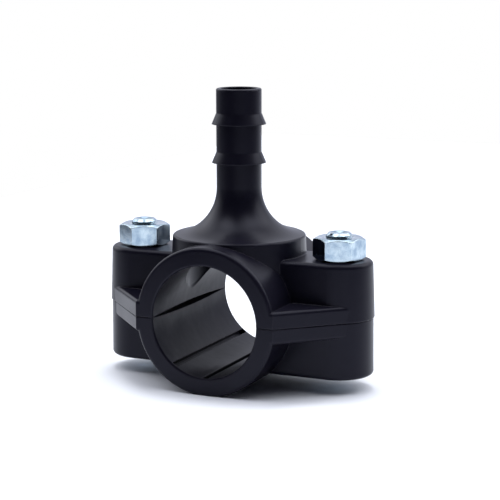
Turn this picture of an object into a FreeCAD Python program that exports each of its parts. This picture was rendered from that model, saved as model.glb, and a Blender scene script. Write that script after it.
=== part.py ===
import FreeCAD
import Part
import math
import os

# Tapping saddle for a 32 mm pipe, with a barbed hose outlet. Millimetres.
# The origin is where the outlet's axis crosses the pipe's axis.
# Y runs along the pipe, Z up the outlet, and X from ear to ear.

# Pipe ring
pipe_radius = 16.0
ring_wall = 5.2
saddle_length = 48.0
ring_edge_round = 1.1
bore_edge_chamfer = 0.4
foot_width = 8.0

# Flange plate beside the split, one on each half, which ends a little inside the ears' round ends
upper_flange_thickness = 4.8
lower_flange_thickness = 4.35
flange_inset = 0.2
flange_edge_round = 1.1
split_chamfer = 0.2

# Ears that carry the bolts: radius at the outer end, and draft towards the split
bolt_spacing = 62.0
upper_ear_radius = 9.6
upper_ear_height = 16.4
upper_ear_draft_deg = 2.0
upper_ear_edge_round = 1.4
lower_ear_radius = 10.0
lower_ear_height = 16.5
lower_ear_draft_deg = -0.5
lower_ear_edge_round = 1.1

# Shallow camber of the ring's two joint faces, which bear only on a land at their ends
camber_height = 0.8
camber_land = 0.08
camber_outer_land = 1.2

# Outlet: round base, flare and hose spigot
base_radius = 19.2
base_rise = 0.5
base_draft_deg = 3.0
rim_round = 0.65
flare_rim_deg = 6.0
spigot_radius = 6.5
spigot_height = 41.75
spigot_tip_round = 0.5
flow_radius = 5.2
flow_tip_chamfer = 0.2

# Hose barbs
barb_count = 2
barb_radius = 7.8
barb_length = 3.1
barb_hook = 0.3
barb_pitch = 11.05
barb_tip_distance = 7.05

# Round pocket in the crown of the bore, and the seal in it
pocket_radius = 15.4
pocket_depth = 2.8
nipple_wall = 2.3
seal_width = 4.0
seal_side_clearance = 0.15
seal_face_clearance = 0.05

# Lengthwise grooves in the lower half of the bore
groove_count = 3
groove_spacing_deg = 36.0
groove_width = 1.6
groove_depth = 1.5
groove_end_land = 0.8

# M8 bolts with hexagon heads and nuts
bolt_radius = 4.0
bolt_length = 35.0
bolt_hole_clearance = 0.25
bolt_end_chamfer = 0.9
across_flats = 13.0
head_height = 5.3
head_pocket_clearance = 0.15
head_recess = 0.3
nut_height = 6.4
thread_clearance = 0.05
nut_countersink = 0.4
hexagon_chamfer_share = 0.95
hexagon_chamfer_deg = 30.0
nut_turn_deg = {"left": -3.0, "right": -11.0}

# Sizes worked out from those above
ring_radius = pipe_radius + ring_wall
half_length = saddle_length / 2.0
half_spacing = bolt_spacing / 2.0
foot_z = -math.sqrt(ring_radius ** 2 - (foot_width / 2.0) ** 2)
upper_ear_root = upper_ear_radius + upper_ear_height * math.tan(math.radians(upper_ear_draft_deg))
lower_ear_root = lower_ear_radius + lower_ear_height * math.tan(math.radians(lower_ear_draft_deg))
base_top_z = ring_radius + base_rise
rim_radius = base_radius - rim_round
flare_rim_angle = math.radians(flare_rim_deg)
flare_radius = (rim_radius - spigot_radius) / (1.0 - math.sin(flare_rim_angle))
flare_centre_x = spigot_radius + flare_radius
flare_end_z = base_top_z + flare_radius * math.cos(flare_rim_angle)
spigot_top_z = base_top_z + spigot_height
pocket_roof_radius = pipe_radius + pocket_depth
nipple_radius = flow_radius + nipple_wall
seal_inner_radius = nipple_radius + seal_side_clearance
seal_outer_radius = seal_inner_radius + seal_width
head_top_z = -lower_ear_height + head_recess + head_height
ear_side_x = {"left": -half_spacing, "right": half_spacing}
# How far cutting tools reach past what they cut, and how near counts as the same place
beyond = 5.0
tolerance = 1e-4

X_AXIS = FreeCAD.Vector(1, 0, 0)
Y_AXIS = FreeCAD.Vector(0, 1, 0)
Z_AXIS = FreeCAD.Vector(0, 0, 1)
ORIGIN = FreeCAD.Vector(0, 0, 0)


def point(x, y, z):
    return FreeCAD.Vector(x, y, z)


def line(start, end):
    return Part.LineSegment(start, end).toShape()


def arc(start, middle, end):
    return Part.Arc(start, middle, end).toShape()


def polyline(points):
    return Part.makePolygon(points + [points[0]])


def cylinder_y(radius, length):
    return Part.makeCylinder(radius, length, point(0, -length / 2.0, 0), Y_AXIS)


def cylinder_z(radius, low, high, x=0.0):
    return Part.makeCylinder(radius, high - low, point(x, 0, low), Z_AXIS)


def edges_at(body, z):
    """The edges of a body that lie in one level plane."""
    level = []
    for edge in body.Edges:
        if all(abs(vertex.Z - z) < tolerance for vertex in edge.Vertexes):
            level.append(edge)
    return level


def hexagon(width, low, high, x, turn_deg=0.0):
    """A hexagonal prism on a vertical axis, one flat facing +X before it is turned."""
    corner = width / 2.0 / math.cos(math.pi / 6.0)
    points = []
    for index in range(6):
        angle = math.radians(30.0 + 60.0 * index + turn_deg)
        points.append(point(x + corner * math.cos(angle), corner * math.sin(angle), low))
    return Part.Face(polyline(points)).extrude(point(0, 0, high - low))


def hexagon_chamfers(low, high, x, at_low, at_high):
    """The turned envelope that rounds off the corners of a bolt head or a nut."""
    flat = across_flats / 2.0 * hexagon_chamfer_share
    corner = across_flats / 2.0 / math.cos(math.pi / 6.0)
    drop = (corner - flat) * math.tan(math.radians(hexagon_chamfer_deg))
    points = [point(x, 0, low)]
    if at_low:
        points += [point(x + flat, 0, low), point(x + corner, 0, low + drop)]
    else:
        points += [point(x + corner, 0, low)]
    if at_high:
        points += [point(x + corner, 0, high - drop), point(x + flat, 0, high)]
    else:
        points += [point(x + corner, 0, high)]
    points += [point(x, 0, high)]
    return Part.Face(polyline(points)).revolve(point(x, 0, 0), Z_AXIS, 360)


def half_ring(side):
    """Half of the pipe ring, with rounded outer edges at both ends."""
    corner = ring_edge_round * (1.0 - math.sqrt(0.5))
    outer = ring_radius
    end = half_length
    inset = ring_edge_round
    front_face = point(outer - inset, -end, 0)
    front_side = point(outer, -end + inset, 0)
    back_side = point(outer, end - inset, 0)
    back_face = point(outer - inset, end, 0)
    edges = [
        line(point(pipe_radius, -end, 0), front_face),
        arc(front_face, point(outer - corner, -end + corner, 0), front_side),
        line(front_side, back_side),
        arc(back_side, point(outer - corner, end - corner, 0), back_face),
        line(back_face, point(pipe_radius, end, 0)),
        line(point(pipe_radius, end, 0), point(pipe_radius, -end, 0)),
    ]
    return Part.Face(Part.Wire(edges)).revolve(ORIGIN, Y_AXIS, -180.0 * side)


def pipe_bore():
    """The bore for the pipe, finely chamfered at both ends."""
    wide = pipe_radius + bore_edge_chamfer
    back_start = point(0, half_length - bore_edge_chamfer, 0)
    front = Part.makeCone(wide, pipe_radius, bore_edge_chamfer, point(0, -half_length, 0), Y_AXIS)
    back = Part.makeCone(pipe_radius, wide, bore_edge_chamfer, back_start, Y_AXIS)
    return cylinder_y(pipe_radius, saddle_length + 2.0 * beyond).fuse([front, back])


def flange_outline(radius, z):
    """Straight edges from the ring's corners to the rounding round each ear."""
    reach_x = half_spacing - ring_radius
    reach = math.hypot(reach_x, half_length)
    edge_angle = math.atan2(half_length, reach_x) - math.asin(radius / reach)
    touch_y = radius * math.cos(edge_angle)
    touch_x = half_spacing + radius * math.sin(edge_angle)
    edges = []
    for side in (1, -1):
        start = point(side * ring_radius, -side * half_length, z)
        first = point(side * touch_x, -side * touch_y, z)
        middle = point(side * (half_spacing + radius), 0, z)
        last = point(side * touch_x, side * touch_y, z)
        end = point(side * ring_radius, side * half_length, z)
        following = point(-side * ring_radius, side * half_length, z)
        edges += [line(start, first), arc(first, middle, last), line(last, end), line(end, following)]
    return Part.Wire(edges)


def flange(side, thickness, ear_root):
    outline = flange_outline(ear_root - flange_inset, 0)
    plate = Part.Face(outline).extrude(point(0, 0, side * thickness))
    return plate.makeFillet(flange_edge_round, edges_at(plate, side * thickness))


def ear_outline(radius, z):
    """A long round-ended outline that runs through both ears."""
    edges = []
    for side in (1, -1):
        low = point(side * half_spacing, -side * radius, z)
        tip = point(side * (half_spacing + radius), 0, z)
        high = point(side * half_spacing, side * radius, z)
        following = point(-side * half_spacing, side * radius, z)
        edges += [arc(low, tip, high), line(high, following)]
    return Part.Wire(edges)


def ears(side, height, radius, root, edge_round):
    """Both ears as one drafted block, rounded along the edge of its outer face."""
    top_z = side * height
    block = Part.makeLoft([ear_outline(root, 0), ear_outline(radius, top_z)], True, True)
    return block.makeFillet(edge_round, edges_at(block, top_z))


def camber(side):
    """The shallow hollow between the ring's joint faces, up to a land beside the split's chamfer."""
    half_span = half_length - split_chamfer - camber_land
    radius = (half_span ** 2 + camber_height ** 2) / (2.0 * camber_height)
    half_width = ring_radius - camber_outer_land
    axis_z = side * (camber_height - radius)
    return Part.makeCylinder(radius, 2.0 * half_width, point(-half_width, 0, axis_z), X_AXIS)


def bolt_holes(low, high):
    holes = [cylinder_z(bolt_radius + bolt_hole_clearance, low, high, x) for x in ear_side_x.values()]
    return Part.makeCompound(holes)


def chamfer_split(body):
    """A fine chamfer round the outside of a half's joint face."""
    hole_radius = bolt_radius + bolt_hole_clearance
    rim = []
    for edge in body.Edges:
        if any(abs(vertex.Z) > tolerance for vertex in edge.Vertexes):
            continue
        centre = edge.CenterOfMass
        at_end_face = abs(abs(centre.y) - half_length) < tolerance
        beside_ring = abs(centre.x) > ring_radius
        round_bolt = math.hypot(abs(centre.x) - half_spacing, centre.y) < hole_radius + tolerance
        if (at_end_face or beside_ring) and not round_bolt:
            rim.append(edge)
    return body.makeChamfer(split_chamfer, rim)


def spigot_profile():
    """The outlet's outside in the XZ plane, from below the rim up to the tip."""
    root_z = upper_flange_thickness
    rim_side_z = base_top_z - rim_round
    foot_radius = base_radius + (rim_side_z - root_z) * math.tan(math.radians(base_draft_deg))
    rim_corner = rim_round * (1.0 - math.sqrt(0.5))
    rim_top = point(rim_radius, 0, base_top_z)
    half_sweep = (math.pi / 2.0 - flare_rim_angle) / 2.0
    flare_middle = point(
        flare_centre_x - flare_radius * math.cos(half_sweep),
        0,
        flare_end_z - flare_radius * math.sin(half_sweep),
    )
    flare_end = point(spigot_radius, 0, flare_end_z)
    edges = [
        line(point(0, 0, root_z), point(foot_radius, 0, root_z)),
        line(point(foot_radius, 0, root_z), point(base_radius, 0, rim_side_z)),
        arc(
            point(base_radius, 0, rim_side_z),
            point(base_radius - rim_corner, 0, base_top_z - rim_corner),
            rim_top,
        ),
        arc(rim_top, flare_middle, flare_end),
    ]
    at = flare_end
    for index in reversed(range(barb_count)):
        barb_top = spigot_top_z - barb_tip_distance - index * barb_pitch
        barb_low = barb_top - barb_length
        corners = [
            point(spigot_radius, 0, barb_low + barb_hook),
            point(barb_radius, 0, barb_low),
            point(spigot_radius, 0, barb_top),
        ]
        for corner in corners:
            edges.append(line(at, corner))
            at = corner
    tip_corner = spigot_tip_round * (1.0 - math.sqrt(0.5))
    shoulder = point(spigot_radius, 0, spigot_top_z - spigot_tip_round)
    crest = point(spigot_radius - spigot_tip_round, 0, spigot_top_z)
    edges += [
        line(at, shoulder),
        arc(shoulder, point(spigot_radius - tip_corner, 0, spigot_top_z - tip_corner), crest),
        line(crest, point(0, 0, spigot_top_z)),
        line(point(0, 0, spigot_top_z), point(0, 0, root_z)),
    ]
    return Part.Wire(edges)


def outlet():
    return Part.Face(spigot_profile()).revolve(ORIGIN, Z_AXIS, 360)


def flow_bore():
    """The port, chamfered where it opens at the spigot's tip."""
    bore = cylinder_z(flow_radius, 0, spigot_top_z + beyond)
    mouth_radius = flow_radius + flow_tip_chamfer
    mouth_start = point(0, 0, spigot_top_z - flow_tip_chamfer)
    mouth = Part.makeCone(flow_radius, mouth_radius, flow_tip_chamfer, mouth_start, Z_AXIS)
    return bore.fuse(mouth)


def seal_pocket():
    """The round pocket under the outlet, with a roof that follows the pipe, round the port's nipple."""
    roof = cylinder_y(pocket_roof_radius, 3.0 * pocket_radius)
    well = cylinder_z(pocket_radius, 0, ring_radius).common(roof)
    return well.cut(cylinder_z(nipple_radius, 0, ring_radius))


def grooves():
    """Lengthwise grooves in the lower half of the bore, spread evenly about its lowest line."""
    groove_length = saddle_length - 2.0 * groove_end_land
    bars = []
    for index in range(groove_count):
        offset = (index - (groove_count - 1) / 2.0) * groove_spacing_deg
        bar = Part.makeBox(
            groove_width,
            groove_length,
            groove_depth + ring_wall,
            point(-groove_width / 2.0, -groove_length / 2.0, -pipe_radius - groove_depth),
        )
        bar.rotate(ORIGIN, Y_AXIS, offset)
        bars.append(bar)
    return bars[0].fuse(bars[1:])


def upper_saddle():
    ear_block = ears(1, upper_ear_height, upper_ear_radius, upper_ear_root, upper_ear_edge_round)
    body = half_ring(1).fuse([flange(1, upper_flange_thickness, upper_ear_root), ear_block, outlet()])
    body = body.cut([pipe_bore(), seal_pocket(), flow_bore()])
    body = body.cut([camber(1), bolt_holes(-beyond, upper_ear_height + beyond)]).removeSplitter()
    return chamfer_split(body)


def lower_saddle():
    ear_block = ears(-1, lower_ear_height, lower_ear_radius, lower_ear_root, lower_ear_edge_round)
    body = half_ring(-1).fuse([flange(-1, lower_flange_thickness, lower_ear_root), ear_block])
    below_foot = Part.makeBox(
        2.0 * ring_radius, saddle_length + 2.0 * beyond, beyond,
        point(-ring_radius, -half_length - beyond, foot_z - beyond),
    )
    body = body.cut([pipe_bore(), grooves(), below_foot])
    pockets = []
    for x in ear_side_x.values():
        width = across_flats + 2.0 * head_pocket_clearance
        pockets.append(hexagon(width, -lower_ear_height - beyond, head_top_z, x))
    body = body.cut(pockets + [camber(-1), bolt_holes(-lower_ear_height - beyond, beyond)]).removeSplitter()
    return chamfer_split(body)


def bolt(x):
    """Hexagon head in the lower ear's pocket, plain shank, chamfered end above the nut."""
    low = head_top_z - head_height
    high = head_top_z + bolt_length
    chamfer_z = high - bolt_end_chamfer
    tip_radius = bolt_radius - bolt_end_chamfer
    head = hexagon(across_flats, low, head_top_z, x)
    head = head.common(hexagon_chamfers(low, head_top_z, x, True, False))
    shank = cylinder_z(bolt_radius, head_top_z - head_height / 2.0, chamfer_z, x)
    end = Part.makeCone(bolt_radius, tip_radius, bolt_end_chamfer, point(x, 0, chamfer_z), Z_AXIS)
    return head.fuse([shank, end]).removeSplitter()


def nut(x, turn_deg):
    low = upper_ear_height
    high = low + nut_height
    hole_radius = bolt_radius + thread_clearance
    wide = hole_radius + nut_countersink
    body = hexagon(across_flats, low, high, x, turn_deg).common(hexagon_chamfers(low, high, x, True, True))
    low_sink = Part.makeCone(wide, hole_radius, nut_countersink, point(x, 0, low), Z_AXIS)
    high_start = point(x, 0, high - nut_countersink)
    high_sink = Part.makeCone(hole_radius, wide, nut_countersink, high_start, Z_AXIS)
    return body.cut([cylinder_z(hole_radius, low - beyond, high + beyond, x), low_sink, high_sink])


def seal_ring():
    """A flat-sided rubber ring that follows the pipe, round the port's nipple in the pocket."""
    span = 3.0 * pocket_radius
    sleeve = cylinder_z(seal_outer_radius, 0, ring_radius)
    sleeve = sleeve.cut(cylinder_z(seal_inner_radius, 0, ring_radius))
    shell = cylinder_y(pocket_roof_radius - seal_face_clearance, span)
    shell = shell.cut(cylinder_y(pipe_radius + seal_face_clearance, span))
    return sleeve.common(shell)


def build():
    pieces = {
        "upper_saddle": upper_saddle(),
        "lower_saddle": lower_saddle(),
        "seal_ring": seal_ring(),
    }
    for side, x in ear_side_x.items():
        pieces["bolt_" + side] = bolt(x)
        pieces["nut_" + side] = nut(x, nut_turn_deg[side])
    os.makedirs("parts", exist_ok=True)
    for name, shape in pieces.items():
        solid = shape.Solids[0] if len(shape.Solids) == 1 else shape
        solid.exportStep("parts/" + name + ".step")
        print(name, len(shape.Solids), "solid", shape.isValid(), round(shape.Volume, 1), "mm3")


build()
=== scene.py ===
import math
import bmesh
import bpy
from mathutils import Matrix, Vector


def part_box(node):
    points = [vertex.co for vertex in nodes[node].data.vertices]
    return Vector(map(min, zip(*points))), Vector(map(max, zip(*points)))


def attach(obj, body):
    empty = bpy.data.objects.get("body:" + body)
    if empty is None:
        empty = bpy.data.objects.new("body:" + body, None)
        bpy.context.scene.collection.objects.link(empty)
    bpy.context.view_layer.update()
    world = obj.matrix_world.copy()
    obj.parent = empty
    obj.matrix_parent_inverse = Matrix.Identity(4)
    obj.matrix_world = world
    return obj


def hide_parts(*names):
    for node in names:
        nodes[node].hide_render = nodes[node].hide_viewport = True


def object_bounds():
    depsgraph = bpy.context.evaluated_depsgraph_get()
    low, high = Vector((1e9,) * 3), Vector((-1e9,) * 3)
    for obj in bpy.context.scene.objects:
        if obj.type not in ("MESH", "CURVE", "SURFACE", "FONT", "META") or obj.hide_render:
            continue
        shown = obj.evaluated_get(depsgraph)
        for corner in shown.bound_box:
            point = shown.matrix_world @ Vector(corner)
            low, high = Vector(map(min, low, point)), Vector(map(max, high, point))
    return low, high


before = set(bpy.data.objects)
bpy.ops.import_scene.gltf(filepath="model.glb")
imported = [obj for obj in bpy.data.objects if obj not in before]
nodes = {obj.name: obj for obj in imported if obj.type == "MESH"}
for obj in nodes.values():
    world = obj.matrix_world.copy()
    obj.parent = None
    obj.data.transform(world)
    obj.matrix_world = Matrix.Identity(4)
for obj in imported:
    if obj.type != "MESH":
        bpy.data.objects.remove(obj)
cad_low, cad_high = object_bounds()
MM = 0.001
bpy.context.scene.view_settings.view_transform = "Standard"

# Camera, fitted to the photograph's outlines: its turns in radians, the place of the CAD origin
# right of, below and in front of it, and its focal length in pixels of the photograph
CAMERA_YAW = 0.4330064
CAMERA_PITCH = 0.1792563
CAMERA_ROLL = -0.0028972
ORIGIN_IN_VIEW_MM = (-3.00588, 16.43992, 470.8915)
FOCAL_PIXELS = 1618.157
FRAME_PIXELS = 500.0
SENSOR_MM = 36.0
CLIP_START_M = 0.01
CLIP_END_M = 20.0

# Bore of the clamp, how far outside its radius the finish of its wall fades out, and the plane across it
PIPE_RADIUS_MM = 16.0
BORE_FADE_FROM_M = 0.0001
BORE_FADE_TO_M = 0.0003
ACROSS_PIPE = Vector((1.0, 0.0, 1.0))

# Bolts, as in the solids: one per ear, head down, M8 thread
BOLT_X_MM = {"left": -31.0, "right": 31.0}
BOLT_RADIUS_MM = 4.0
ACROSS_FLATS_MM = 13.0
HEAD_HEIGHT_MM = 5.3
HEAD_CHAMFER_SHARE = 0.95
HEAD_CHAMFER_SLOPE = math.tan(math.radians(30.0))
HEAD_RINGS = 5
HEAD_RING_STEP_MM = 0.12
HEAD_EDGE_BAND_MM = 0.15
FILLET_REACH_MM = 0.25
FILLET_HEIGHT_MM = 0.2

# Thread: the shares of root and flank are of half a pitch
THREAD_PITCH_MM = 1.25
THREAD_DEPTH_MM = 0.72
THREAD_LENGTH_MM = 22.0
THREAD_ROOT_SHARE = 0.14
THREAD_FLANK_SHARE = 0.7
THREAD_RUN_IN_TURNS = 1.5
THREAD_RINGS_PER_TURN = 12
PLAIN_BAND_MM = 0.2

# The bolts' ends: chamfered, then nearly straight, with a dish in the middle
TIP_RADIUS_MM = 3.05
TIP_CHAMFER_MM = 0.75
TIP_SLOPE = 0.06
DISH_RADIUS_MM = 2.4
DISH_DEPTH_MM = 0.7
DISH_STEPS = (1.0, 0.9, 0.78, 0.64, 0.48, 0.3, 0.15, 0.0)

# The start of each nut's thread: a thin ring, its top a little under the nut's
COLLAR_OUTER_MM = 4.5
COLLAR_INNER_MM = 3.85
COLLAR_HEIGHT_MM = 0.3
COLLAR_OUTER_DROP_MM = 0.01
COLLAR_INNER_DROP_MM = 0.06
COLLAR_CLEARANCE_MM = 0.02

# Turned meshes
TURNED_SIDES = 72
SHARP_EDGE_DEG = 32.0
MERGE_DISTANCE_M = 1e-7

# Colours
PLASTIC_FACE = (0.0030, 0.0026, 0.0075)
# The plastic's paler edge colour is a painted highlight along its edges
PLASTIC_EDGE_HIGHLIGHT = (0.034, 0.033, 0.042)
PLASTIC_GLOSS = (0.86, 0.87, 1.0)
ZINC_DULL = (0.25, 0.34, 0.43)
# The bright zinc colour shows in the random mottle, and along the edges as a painted highlight
ZINC_MOTTLE_AND_HIGHLIGHT = (0.64, 0.74, 0.77)
RUBBER_DARK = (0.010, 0.010, 0.011)
RUBBER_BLOOM = (0.026, 0.026, 0.027)
FLOOR_PALE = (0.82, 0.84, 0.88)
WHITE = (1.0, 1.0, 1.0)

# Gloss of the moulded plastic, less on the wall of the bore
FACE_SPECULAR = 0.205
BORE_SPECULAR = 0.12

# Shared by the finishes: how far an edge takes its paler colour, a painted highlight, where most of a noise's
# values lie, and the rays by which a bevel feels for edges
EDGE_HIGHLIGHT_TONE = 0.7
NOISE_SPAN = (0.3, 0.7)
BEVEL_SAMPLES = 6

# Floor: its outline in metres, without the corner at the camera's front left and the light from there,
# and how far it lies under the object
FLOOR_OUTLINE_M = (
    (0.30, 0.60),
    (-0.262, 0.60),
    (-0.262, -0.15),
    (-0.02, -0.15),
    (0.02, -0.32),
    (0.30, -0.32),
)
FLOOR_GAP_M = 0.00001

# Sky: a dark colour, and soft patches as azimuth, elevation, inner and outer radius in degrees, strength
SKY_DARK = (0.013, 0.013, 0.024)
PATCH_TINT = (1.0, 1.02, 1.09)
SKY_PATCHES = (
    (122.0, 57.0, 42.0, 56.0, 0.80),
    (115.0, 68.0, 9.0, 24.0, 1.7),
    (172.0, 25.0, 10.0, 34.0, 1.6),
    (38.0, 32.0, 8.0, 28.0, 2.6),
    (-142.0, 66.0, 6.0, 21.0, 3.0),
    (-13.0, 67.0, 6.0, 22.0, 2.7),
    (105.0, 22.0, 8.0, 30.0, 0.4),
    (70.0, 25.0, 8.0, 28.0, 0.7),
    (20.0, 55.0, 6.0, 20.0, 1.8),
)

# Backdrop that mirrored rays meet: its colour, its azimuth and elevation, and the cosines between
# which it fades in
BACKDROP = (0.78, 0.81, 0.98)
BACKDROP_TOWARD_DEG = (92.0, -18.0)
BACKDROP_FADE = (0.4, 0.9)

# Key lamp: azimuth and elevation, width and strength
KEY_TOWARD_DEG = (115.0, 80.0)
KEY_SPREAD_DEG = 16.0
KEY_STRENGTH = 1.1

# Sockets of the mix node when it mixes colours
MIX_FACTOR = 0
MIX_FIRST = 6
MIX_SECOND = 7
MIX_RESULT = 2


def connect(tree, socket, value):
    """Sets a socket to a colour, a number or a direction, or links it to another node's output."""
    if isinstance(value, tuple):
        socket.default_value = (*value, 1.0)
    elif isinstance(value, (int, float, Vector)):
        socket.default_value = value
    else:
        tree.links.new(value, socket)


def add_node(tree, kind, settings=None, inputs=None):
    node = tree.nodes.new(kind)
    for key, value in (settings or {}).items():
        setattr(node, key, value)
    for key, value in (inputs or {}).items():
        connect(tree, node.inputs[key], value)
    return node


def new_material(name):
    material = bpy.data.materials.new(name)
    material.use_nodes = True
    material.node_tree.nodes.clear()
    return material, material.node_tree


def object_coordinates(tree):
    return add_node(tree, "ShaderNodeTexCoord").outputs["Object"]


def noise(tree, coordinates, scale, detail=2.0, roughness=0.5):
    inputs = {"Vector": coordinates, "Scale": scale, "Detail": detail, "Roughness": roughness}
    return add_node(tree, "ShaderNodeTexNoise", inputs=inputs).outputs["Fac"]


def remap(tree, value, low, high, to_low, to_high):
    """Carries the range from low to high over to the range from to_low to to_high, and no further."""
    inputs = {"Value": value, "From Min": low, "From Max": high, "To Min": to_low, "To Max": to_high}
    return add_node(tree, "ShaderNodeMapRange", {"clamp": True}, inputs).outputs["Result"]


def math_node(tree, operation, first, second):
    inputs = {0: first, 1: second}
    return add_node(tree, "ShaderNodeMath", {"operation": operation}, inputs).outputs["Value"]


def scaled(tree, value, share):
    return math_node(tree, "MULTIPLY", value, share)


def vector_math(tree, operation, *values):
    inputs = dict(enumerate(values))
    return add_node(tree, "ShaderNodeVectorMath", {"operation": operation}, inputs).outputs


def mix_colours(tree, factor, first, second, blend="MIX"):
    settings = {"data_type": "RGBA", "blend_type": blend}
    inputs = {MIX_FACTOR: factor, MIX_FIRST: first, MIX_SECOND: second}
    return add_node(tree, "ShaderNodeMix", settings, inputs).outputs[MIX_RESULT]


def softened(tree, radius_m):
    """The surface normal with every edge eased."""
    node = add_node(tree, "ShaderNodeBevel", {"samples": BEVEL_SAMPLES}, {"Radius": radius_m})
    return node.outputs["Normal"]


def edge_mask(tree, radius_m, gain):
    """1 along the object's edges, 0 on its faces."""
    normal = add_node(tree, "ShaderNodeNewGeometry").outputs["Normal"]
    likeness = vector_math(tree, "DOT_PRODUCT", softened(tree, radius_m), normal)["Value"]
    return remap(tree, likeness, 1.0, 1.0 - 1.0 / gain, 0.0, 1.0)


def bump(tree, height, distance_m, strength, below=None):
    inputs = {"Height": height, "Distance": distance_m, "Strength": strength}
    if below is not None:
        inputs["Normal"] = below
    return add_node(tree, "ShaderNodeBump", inputs=inputs).outputs["Normal"]


def inside_bore(tree, coordinates):
    """1 on the wall of the pipe's bore, 0 elsewhere."""
    across = vector_math(tree, "MULTIPLY", coordinates, ACROSS_PIPE)["Vector"]
    distance = vector_math(tree, "LENGTH", across)["Value"]
    wall = PIPE_RADIUS_MM * MM
    return remap(tree, distance, wall + BORE_FADE_FROM_M, wall + BORE_FADE_TO_M, 1.0, 0.0)


def finish_material(tree, shader, inputs):
    """Adds the shader that a material shows."""
    surface = add_node(tree, shader, inputs=inputs).outputs[0]
    add_node(tree, "ShaderNodeOutputMaterial", inputs={"Surface": surface})


def black_plastic():
    """Satin moulded black plastic: fine grain, faint flow marks, edges a little smoother and paler, the
    paleness a painted highlight.
    """
    cloud_tone = 0.12
    edge_polish = 0.08
    material, tree = new_material("black_plastic_moulded")
    where = object_coordinates(tree)
    grain = noise(tree, where, scale=2600.0, detail=3.0, roughness=0.6)
    ripple = noise(tree, where, scale=240.0)
    cloud = noise(tree, where, scale=55.0, detail=3.0)
    edges = edge_mask(tree, radius_m=0.00045, gain=6.0)
    bore = inside_bore(tree, where)
    # Paler colour along the edges is a painted highlight; the cloud's share is random tone of flow marks
    tone = math_node(tree, "ADD", scaled(tree, edges, EDGE_HIGHLIGHT_TONE), scaled(tree, cloud, cloud_tone))
    face_roughness = remap(tree, cloud, *NOISE_SPAN, 0.29, 0.37)
    wave = scaled(tree, noise(tree, where, scale=110.0), bore)
    surface = bump(tree, wave, distance_m=0.0006, strength=0.35, below=softened(tree, 0.0004))
    surface = bump(tree, ripple, distance_m=0.00008, strength=0.12, below=surface)
    surface = bump(tree, grain, distance_m=0.00002, strength=0.35, below=surface)
    finish_material(tree, "ShaderNodeBsdfPrincipled", {
        "Base Color": mix_colours(tree, tone, PLASTIC_FACE, PLASTIC_EDGE_HIGHLIGHT),
        "Roughness": math_node(tree, "SUBTRACT", face_roughness, scaled(tree, edges, edge_polish)),
        "IOR": 1.46,
        "Specular IOR Level": remap(tree, bore, 0.0, 1.0, FACE_SPECULAR, BORE_SPECULAR),
        "Specular Tint": PLASTIC_GLOSS,
        "Normal": surface,
    })
    return material


def zinc_steel():
    """Bright zinc plating with a pale blue passivation, faintly mottled, with a painted highlight along its
    edges.
    """
    material, tree = new_material("zinc_plated_steel")
    where = object_coordinates(tree)
    mottle = noise(tree, where, scale=420.0, detail=4.0, roughness=0.6)
    cloud = noise(tree, where, scale=130.0)
    pits = noise(tree, where, scale=1900.0, detail=3.0, roughness=0.6)
    edges = edge_mask(tree, radius_m=0.0006, gain=5.0)
    mottle_tone = remap(tree, mottle, 0.35, 0.65, 0.0, 0.6)
    # The mottle is random tone; the paler colour along the edges is a painted highlight
    tone = math_node(tree, "ADD", mottle_tone, scaled(tree, edges, EDGE_HIGHLIGHT_TONE))
    surface = bump(tree, mottle, distance_m=0.00006, strength=0.12, below=softened(tree, 0.0003))
    surface = bump(tree, pits, distance_m=0.00002, strength=0.1, below=surface)
    finish_material(tree, "ShaderNodeBsdfPrincipled", {
        "Base Color": mix_colours(tree, tone, ZINC_DULL, ZINC_MOTTLE_AND_HIGHLIGHT),
        "Metallic": 1.0,
        "Roughness": remap(tree, cloud, *NOISE_SPAN, 0.11, 0.19),
        "Normal": surface,
    })
    return material


def seal_rubber():
    """Matt black rubber with a dusty bloom."""
    material, tree = new_material("black_seal_rubber")
    where = object_coordinates(tree)
    bloom = noise(tree, where, scale=180.0, detail=3.0)
    grain = noise(tree, where, scale=3200.0)
    tone = remap(tree, bloom, 0.35, 0.7, 0.0, 1.0)
    finish_material(tree, "ShaderNodeBsdfPrincipled", {
        "Base Color": mix_colours(tree, tone, RUBBER_DARK, RUBBER_BLOOM),
        "Roughness": remap(tree, bloom, *NOISE_SPAN, 0.68, 0.84),
        "IOR": 1.5,
        "Normal": bump(tree, grain, distance_m=0.00003, strength=0.4),
    })
    return material


def ring(z, radius):
    """One round ring of a turned profile: its height, and its radius at every angle."""
    return z, lambda angle, height: radius


def turned_mesh(name, x_mm, profile, closed):
    """A mesh about an upright axis, from its profile's heights and their radius at each angle.

    A closed profile also joins its last ring to its first.
    """
    vertices, faces = [], []
    for z, radius_at in profile:
        for side in range(TURNED_SIDES):
            angle = 2.0 * math.pi * side / TURNED_SIDES
            radius = radius_at(angle, z)
            vertices.append(((x_mm + radius * math.cos(angle)) * MM, radius * math.sin(angle) * MM, z * MM))
    for index in range(len(profile) if closed else len(profile) - 1):
        here = index * TURNED_SIDES
        above = (index + 1) % len(profile) * TURNED_SIDES
        for side in range(TURNED_SIDES):
            after = (side + 1) % TURNED_SIDES
            faces.append((here + side, here + after, above + after, above + side))
    mesh = bpy.data.meshes.new(name)
    mesh.from_pydata(vertices, [], faces)
    mesh.validate()
    merge_and_smooth(mesh)
    return mesh


def merge_and_smooth(mesh):
    """Joins the points that meet, turns the faces outwards and shades all but the sharp edges smooth."""
    work = bmesh.new()
    work.from_mesh(mesh)
    bmesh.ops.remove_doubles(work, verts=work.verts, dist=MERGE_DISTANCE_M)
    bmesh.ops.recalc_face_normals(work, faces=work.faces)
    for face in work.faces:
        face.smooth = True
    for edge in work.edges:
        edge.smooth = edge.calc_face_angle(0.0) < math.radians(SHARP_EDGE_DEG)
    work.to_mesh(mesh)
    work.free()


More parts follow.
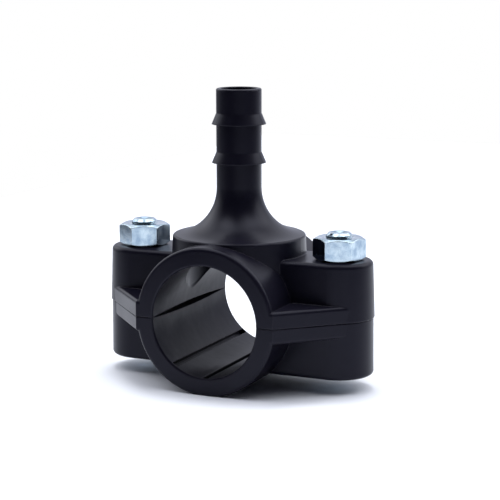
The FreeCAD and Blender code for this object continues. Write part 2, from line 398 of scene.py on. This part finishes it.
def thread_height(turn):
    """Share of the thread's depth at a place along one pitch: flat crest, sloped flanks, narrow root."""
    place = abs((turn % 1.0) * 2.0 - 1.0)
    return min(1.0, max(0.0, (place - THREAD_ROOT_SHARE) / THREAD_FLANK_SHARE))


def bolt_mesh(name, x_mm, low_mm, high_mm):
    """A hexagon bolt standing on its head: chamfered head, plain shank, rolled thread, chamfered end."""
    head_top = low_mm + HEAD_HEIGHT_MM
    thread_from = high_mm - THREAD_LENGTH_MM
    flat = ACROSS_FLATS_MM / 2.0

    def head_radius(angle, z):
        within = (angle + math.pi / 6.0) % (math.pi / 3.0) - math.pi / 6.0
        hexagon = flat / math.cos(within)
        rounded = flat * HEAD_CHAMFER_SHARE + (z - low_mm) / HEAD_CHAMFER_SLOPE
        return min(hexagon, rounded)

    def shank_radius(angle, z):
        below_tip = high_mm - z
        end = TIP_RADIUS_MM + min(below_tip, TIP_CHAMFER_MM + TIP_SLOPE * (below_tip - TIP_CHAMFER_MM))
        started = min(1.0, max(0.0, (z - thread_from) / (THREAD_RUN_IN_TURNS * THREAD_PITCH_MM)))
        height = thread_height(z / THREAD_PITCH_MM - angle / (2.0 * math.pi))
        thread = BOLT_RADIUS_MM - THREAD_DEPTH_MM * started * (1.0 - height)
        return min(end, thread)

    profile = [ring(low_mm, 0.0)]
    profile += [(low_mm + HEAD_RING_STEP_MM * index, head_radius) for index in range(HEAD_RINGS)]
    profile += [(head_top - HEAD_EDGE_BAND_MM, head_radius), (head_top, head_radius)]
    profile.append(ring(head_top, BOLT_RADIUS_MM + FILLET_REACH_MM))
    profile.append(ring(head_top + FILLET_HEIGHT_MM, BOLT_RADIUS_MM))
    profile.append(ring(thread_from - PLAIN_BAND_MM, BOLT_RADIUS_MM))
    steps = round(THREAD_LENGTH_MM / THREAD_PITCH_MM * THREAD_RINGS_PER_TURN)
    for index in range(steps + 1):
        profile.append((thread_from + THREAD_LENGTH_MM * index / steps, shank_radius))
    for share in DISH_STEPS:
        drop = DISH_DEPTH_MM * (1.0 - share ** 2)
        profile.append(ring(high_mm - drop, DISH_RADIUS_MM * share))
    return turned_mesh(name, x_mm, profile, closed=False)


def collar_mesh(name, x_mm, top_mm):
    """The start of a nut's thread: a thin ring that closes the nut's hole towards the bolt."""
    base_mm = top_mm - COLLAR_HEIGHT_MM
    profile = [
        ring(top_mm - COLLAR_OUTER_DROP_MM, COLLAR_OUTER_MM),
        ring(top_mm - COLLAR_INNER_DROP_MM, COLLAR_INNER_MM),
        ring(base_mm, COLLAR_INNER_MM),
        ring(base_mm, BOLT_RADIUS_MM + COLLAR_CLEARANCE_MM),
    ]
    return turned_mesh(name, x_mm, profile, closed=True)


def new_object(name, data):
    thing = bpy.data.objects.new(name, data)
    bpy.context.scene.collection.objects.link(thing)
    return thing


def add_piece(name, mesh, material, body):
    piece = new_object(name, mesh)
    mesh.materials.append(material)
    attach(piece, body)
    return piece


def set_material(node_name, material):
    node = nodes[node_name]
    if not node.material_slots:
        node.data.materials.append(material)
    for slot in node.material_slots:
        slot.material = material


def add_bolt_and_collar(side, x_mm, material):
    """The threaded bolt that stands for one ear's plain one, and the thread's start in its nut."""
    low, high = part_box("bolt_" + side)
    bolt = bolt_mesh("threaded_bolt_" + side, x_mm, low.z / MM, high.z / MM)
    piece = add_piece("threaded_bolt_" + side, bolt, material, "lower_clamp")
    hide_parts("bolt_" + side)
    nut_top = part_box("nut_" + side)[1].z / MM
    collar = collar_mesh("nut_thread_" + side, x_mm, nut_top)
    add_piece("nut_thread_" + side, collar, material, "nut_" + side)


def make_camera():
    """The photograph's camera. Its own axes run right, down and forward until they are turned for Blender."""
    cos_yaw, sin_yaw = math.cos(CAMERA_YAW), math.sin(CAMERA_YAW)
    cos_pitch, sin_pitch = math.cos(CAMERA_PITCH), math.sin(CAMERA_PITCH)
    cos_roll, sin_roll = math.cos(CAMERA_ROLL), math.sin(CAMERA_ROLL)
    about_z = Matrix(((cos_yaw, sin_yaw, 0), (-sin_yaw, cos_yaw, 0), (0, 0, 1)))
    upright = Matrix(((1, 0, 0), (0, 0, -1), (0, 1, 0)))
    about_x = Matrix(((1, 0, 0), (0, cos_pitch, -sin_pitch), (0, sin_pitch, cos_pitch)))
    about_view = Matrix(((cos_roll, -sin_roll, 0), (sin_roll, cos_roll, 0), (0, 0, 1)))
    look = about_view @ about_x @ upright @ about_z
    place = -(look.transposed() @ Vector(ORIGIN_IN_VIEW_MM)) * MM
    axes = Matrix((look[0], -look[1], -look[2])).transposed()
    data = bpy.data.cameras.new("camera")
    data.sensor_width = SENSOR_MM
    data.lens = FOCAL_PIXELS / FRAME_PIXELS * SENSOR_MM
    data.clip_start = CLIP_START_M
    data.clip_end = CLIP_END_M
    camera = new_object("camera", data)
    camera.matrix_world = Matrix.Translation(place) @ axes.to_4x4()
    bpy.context.scene.camera = camera


def make_floor():
    """A pale floor under the object. It keeps the object's shadow."""
    z = cad_low.z - FLOOR_GAP_M
    mesh = bpy.data.meshes.new("floor")
    corners = [(x, y, z) for x, y in FLOOR_OUTLINE_M]
    mesh.from_pydata(corners, [], [tuple(range(len(corners)))])
    floor = new_object("floor", mesh)
    material, tree = new_material("floor_white")
    finish_material(tree, "ShaderNodeBsdfDiffuse", {"Color": FLOOR_PALE})
    mesh.materials.append(material)


def toward(azimuth_deg, elevation_deg):
    """A direction: azimuth is counted from +X towards +Y."""
    azimuth, elevation = math.radians(azimuth_deg), math.radians(elevation_deg)
    return Vector((
        math.cos(azimuth) * math.cos(elevation),
        math.sin(azimuth) * math.cos(elevation),
        math.sin(elevation),
    ))


def add_patch(tree, direction, sky, centre, inner_deg, outer_deg, strength):
    """The sky with one more soft bright patch."""
    nearness = vector_math(tree, "DOT_PRODUCT", direction, centre)["Value"]
    inside, outside = math.cos(math.radians(inner_deg)), math.cos(math.radians(outer_deg))
    patch = remap(tree, nearness, outside, inside, 0.0, 1.0)
    colour = tuple(strength * share for share in PATCH_TINT)
    return mix_colours(tree, patch, sky, colour, "ADD")


def background(tree, colour):
    inputs = {"Color": colour, "Strength": 1.0}
    return add_node(tree, "ShaderNodeBackground", inputs=inputs).outputs[0]


def make_world():
    """A soft studio round the object, dark where the photographer stands, before a white background.

    The camera sees the background white. Mirrored rays see the backdrop behind the object, and the sky
    elsewhere.
    """
    world = bpy.data.worlds.new("studio")
    bpy.context.scene.world = world
    world.use_nodes = True
    tree = world.node_tree
    tree.nodes.clear()
    direction = add_node(tree, "ShaderNodeTexCoord").outputs["Generated"]
    sky = SKY_DARK
    for azimuth, elevation, inner, outer, strength in SKY_PATCHES:
        sky = add_patch(tree, direction, sky, toward(azimuth, elevation), inner, outer, strength)
    rays = add_node(tree, "ShaderNodeLightPath").outputs
    mirrored = math_node(tree, "MAXIMUM", rays["Is Glossy Ray"], rays["Is Transmission Ray"])
    nearness = vector_math(tree, "DOT_PRODUCT", direction, toward(*BACKDROP_TOWARD_DEG))["Value"]
    behind = remap(tree, nearness, *BACKDROP_FADE, 0.0, 1.0)
    studio = mix_colours(tree, scaled(tree, mirrored, behind), sky, BACKDROP)
    seen = {0: rays["Is Camera Ray"], 1: background(tree, studio), 2: background(tree, WHITE)}
    choose = add_node(tree, "ShaderNodeMixShader", inputs=seen)
    add_node(tree, "ShaderNodeOutputWorld", inputs={"Surface": choose.outputs[0]})


def add_sun(name, azimuth_deg, elevation_deg, strength, spread_deg):
    """A soft lamp far away, not seen in reflections: azimuth is counted from +X towards +Y."""
    data = bpy.data.lights.new(name, "SUN")
    data.energy = strength
    data.angle = math.radians(spread_deg)
    lamp = new_object(name, data)
    lamp.rotation_mode = "QUATERNION"
    lamp.rotation_quaternion = toward(azimuth_deg, elevation_deg).to_track_quat("Z", "Y")
    lamp.visible_glossy = False


plastic = black_plastic()
zinc = zinc_steel()
rubber = seal_rubber()
set_material("upper_saddle", plastic)
set_material("lower_saddle", plastic)
set_material("seal_ring", rubber)
set_material("nut_left", zinc)
set_material("nut_right", zinc)

for side_name, bolt_x in BOLT_X_MM.items():
    add_bolt_and_collar(side_name, bolt_x, zinc)

make_camera()
make_floor()
make_world()
add_sun("key_lamp", *KEY_TOWARD_DEG, KEY_STRENGTH, KEY_SPREAD_DEG)
